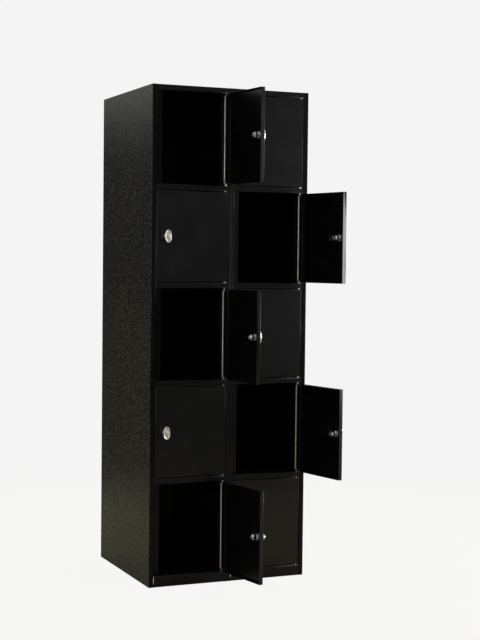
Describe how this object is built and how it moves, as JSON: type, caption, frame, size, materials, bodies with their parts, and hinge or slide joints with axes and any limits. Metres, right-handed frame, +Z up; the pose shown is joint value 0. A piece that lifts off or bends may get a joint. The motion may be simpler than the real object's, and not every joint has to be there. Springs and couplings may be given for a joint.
{
  "type": "cell phone locker cabinet",
  "caption": "Tall free-standing sheet-steel locker cabinet with small compartments, inset hinged tray doors and oval turn locks with cams",
  "frame": {"origin": "centre of the cabinet's underside, on the face of the bearer that it stands on", "axes": "+X to the right as seen from the front, +Y from the doors to the back, +Z up; the doors face -Y"},
  "size_m": [0.6585, 0.8145, 1.8],
  "materials": {
    "black_enamel": "black semi-gloss enamel on sheet steel, scuffed and dusty on the sides",
    "door_enamel": "black semi-gloss enamel on folded sheet steel",
    "zinc_wire": "dull yellowish zinc-plated steel wire",
    "lock_nickel": "satin nickel plate on cast zinc, worn"
  },
  "bodies": {
    "carcass": {"side_panel_left": "black_enamel", "side_panel_right": "black_enamel", "back_panel": "black_enamel", "roof_panel": "black_enamel", "floor_panel": "black_enamel", "centre_wall": "black_enamel", "shelf_pair_1": "black_enamel", "shelf_pair_2": "black_enamel", "shelf_pair_3": "black_enamel", "shelf_pair_4": "black_enamel"},
    "door_r1c1": {"door_r1c1": "door_enamel", "hinge_rod_r1c1": "zinc_wire", "lock_body_r1c1": "lock_nickel"},
    "lock_r1c1": {"lock_knob_r1c1": "lock_nickel", "lock_cam_r1c1": "lock_nickel"},
    "door_r1c2": {"door_r1c2": "door_enamel", "hinge_rod_r1c2": "zinc_wire", "lock_body_r1c2": "lock_nickel"},
    "lock_r1c2": {"lock_knob_r1c2": "lock_nickel", "lock_cam_r1c2": "lock_nickel"},
    "door_r2c1": {"door_r2c1": "door_enamel", "hinge_rod_r2c1": "zinc_wire", "lock_body_r2c1": "lock_nickel"},
    "lock_r2c1": {"lock_knob_r2c1": "lock_nickel", "lock_cam_r2c1": "lock_nickel"},
    "door_r2c2": {"door_r2c2": "door_enamel", "hinge_rod_r2c2": "zinc_wire", "lock_body_r2c2": "lock_nickel"},
    "lock_r2c2": {"lock_knob_r2c2": "lock_nickel", "lock_cam_r2c2": "lock_nickel"},
    "door_r3c1": {"door_r3c1": "door_enamel", "hinge_rod_r3c1": "zinc_wire", "lock_body_r3c1": "lock_nickel"},
    "lock_r3c1": {"lock_knob_r3c1": "lock_nickel", "lock_cam_r3c1": "lock_nickel"},
    "door_r3c2": {"door_r3c2": "door_enamel", "hinge_rod_r3c2": "zinc_wire", "lock_body_r3c2": "lock_nickel"},
    "lock_r3c2": {"lock_knob_r3c2": "lock_nickel", "lock_cam_r3c2": "lock_nickel"},
    "door_r4c1": {"door_r4c1": "door_enamel", "hinge_rod_r4c1": "zinc_wire", "lock_body_r4c1": "lock_nickel"},
    "lock_r4c1": {"lock_knob_r4c1": "lock_nickel", "lock_cam_r4c1": "lock_nickel"},
    "door_r4c2": {"door_r4c2": "door_enamel", "hinge_rod_r4c2": "zinc_wire", "lock_body_r4c2": "lock_nickel"},
    "lock_r4c2": {"lock_knob_r4c2": "lock_nickel", "lock_cam_r4c2": "lock_nickel"},
    "door_r5c1": {"door_r5c1": "door_enamel", "hinge_rod_r5c1": "zinc_wire", "lock_body_r5c1": "lock_nickel"},
    "lock_r5c1": {"lock_knob_r5c1": "lock_nickel", "lock_cam_r5c1": "lock_nickel"},
    "door_r5c2": {"door_r5c2": "door_enamel", "hinge_rod_r5c2": "zinc_wire", "lock_body_r5c2": "lock_nickel"},
    "lock_r5c2": {"lock_knob_r5c2": "lock_nickel", "lock_cam_r5c2": "lock_nickel"}
  },
  "joints": [
    {"name": "door_swing_r1c1", "type": "hinge", "parent": "carcass", "child": "door_r1c1", "pos_m": [-0.022, -0.2715, 1.614], "axis": [0, 0, 1], "range_deg": [-96, 14]},
    {"name": "lock_turn_r1c1", "type": "hinge", "parent": "door_r1c1", "child": "lock_r1c1", "pos_m": [0.00725, -0.49718, 1.614], "axis": [0.9945, 0.1045, 0], "range_deg": [0, 180]},
    {"name": "door_swing_r1c2", "type": "hinge", "parent": "carcass", "child": "door_r1c2", "pos_m": [0.279, -0.2715, 1.614], "axis": [0, 0, 1], "range_deg": [0, 110]},
    {"name": "lock_turn_r1c2", "type": "hinge", "parent": "door_r1c2", "child": "lock_r1c2", "pos_m": [0.0515, -0.277, 1.614], "axis": [0, -1, 0], "range_deg": [0, 180]},
    {"name": "door_swing_r2c1", "type": "hinge", "parent": "carcass", "child": "door_r2c1", "pos_m": [-0.022, -0.2715, 1.262], "axis": [0, 0, 1], "range_deg": [0, 110]},
    {"name": "lock_turn_r2c1", "type": "hinge", "parent": "door_r2c1", "child": "lock_r2c1", "pos_m": [-0.2495, -0.277, 1.262], "axis": [0, -1, 0], "range_deg": [0, 180]},
    {"name": "door_swing_r2c2", "type": "hinge", "parent": "carcass", "child": "door_r2c2", "pos_m": [0.279, -0.2715, 1.262], "axis": [0, 0, 1], "range_deg": [-101.5, 8.5]},
    {"name": "lock_turn_r2c2", "type": "hinge", "parent": "door_r2c2", "child": "lock_r2c2", "pos_m": [0.32975, -0.49334, 1.262], "axis": [0.9799, 0.1994, 0], "range_deg": [0, 180]},
    {"name": "door_swing_r3c1", "type": "hinge", "parent": "carcass", "child": "door_r3c1", "pos_m": [-0.022, -0.2715, 0.91], "axis": [0, 0, 1], "range_deg": [-94.5, 15.5]},
    {"name": "lock_turn_r3c1", "type": "hinge", "parent": "door_r3c1", "child": "lock_r3c1", "pos_m": [0.00133, -0.49787, 0.91], "axis": [0.9969, 0.0785, 0], "range_deg": [0, 180]},
    {"name": "door_swing_r3c2", "type": "hinge", "parent": "carcass", "child": "door_r3c2", "pos_m": [0.279, -0.2715, 0.91], "axis": [0, 0, 1], "range_deg": [0, 110]},
    {"name": "lock_turn_r3c2", "type": "hinge", "parent": "door_r3c2", "child": "lock_r3c2", "pos_m": [0.0515, -0.277, 0.91], "axis": [0, -1, 0], "range_deg": [0, 180]},
    {"name": "door_swing_r4c1", "type": "hinge", "parent": "carcass", "child": "door_r4c1", "pos_m": [-0.022, -0.2715, 0.558], "axis": [0, 0, 1], "range_deg": [0, 110]},
    {"name": "lock_turn_r4c1", "type": "hinge", "parent": "door_r4c1", "child": "lock_r4c1", "pos_m": [-0.2495, -0.277, 0.558], "axis": [0, -1, 0], "range_deg": [0, 180]},
    {"name": "door_swing_r4c2", "type": "hinge", "parent": "carcass", "child": "door_r4c2", "pos_m": [0.279, -0.2715, 0.558], "axis": [0, 0, 1], "range_deg": [-100.5, 9.5]},
    {"name": "lock_turn_r4c2", "type": "hinge", "parent": "door_r4c2", "child": "lock_r4c2", "pos_m": [0.32587, -0.49419, 0.558], "axis": [0.9833, 0.1822, 0], "range_deg": [-35, 145]},
    {"name": "door_swing_r5c1", "type": "hinge", "parent": "carcass", "child": "door_r5c1", "pos_m": [-0.022, -0.2715, 0.206], "axis": [0, 0, 1], "range_deg": [-99, 11]},
    {"name": "lock_turn_r5c1", "type": "hinge", "parent": "door_r5c1", "child": "lock_r5c1", "pos_m": [0.01902, -0.49534, 0.206], "axis": [0.9877, 0.1564, 0], "range_deg": [-90, 90]},
    {"name": "door_swing_r5c2", "type": "hinge", "parent": "carcass", "child": "door_r5c2", "pos_m": [0.279, -0.2715, 0.206], "axis": [0, 0, 1], "range_deg": [0, 110]},
    {"name": "lock_turn_r5c2", "type": "hinge", "parent": "door_r5c2", "child": "lock_r5c2", "pos_m": [0.0515, -0.277, 0.206], "axis": [0, -1, 0], "range_deg": [0, 180]}
  ]
}
